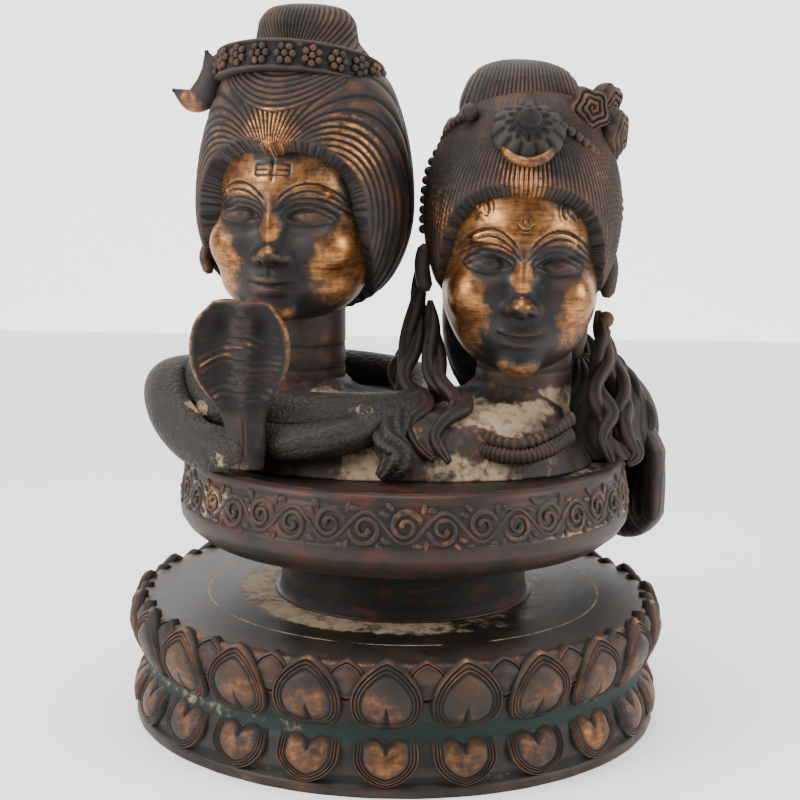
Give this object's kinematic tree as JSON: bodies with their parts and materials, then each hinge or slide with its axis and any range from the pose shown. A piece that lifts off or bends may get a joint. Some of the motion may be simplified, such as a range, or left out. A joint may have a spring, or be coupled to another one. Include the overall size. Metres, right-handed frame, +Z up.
{
  "type": "bronze bust group of shiva and parvati on a yoni disc and lotus pedestal",
  "caption": "Cast bronze pair of crowned busts with a cobra, on a round scroll-banded disc, a drum stem and a double-lotus pedestal; stands by its own weight.",
  "frame": {"origin": "centre of the pedestal's flat underside, on the surface it stands on", "axes": "+Z up through both heads, the longest extent; +X the viewer's right; the faces look along -Y"},
  "size_m": [0.3239, 0.3183, 0.4177],
  "materials": {
    "lotus_bronze": "dark brown cast bronze, copper-orange where petals are rubbed, green verdigris in the waist",
    "disc_bronze": "near-black patina with brown wear on the scroll band and traces of red and green",
    "bust_bronze": "dark patina rubbed to copper on the faces, with worn cream patches round the necks"
  },
  "bodies": {
    "root": {"lotus_base": "lotus_bronze", "yoni_disc": "disc_bronze", "bust_group": "bust_bronze"}
  },
  "joints": []
}
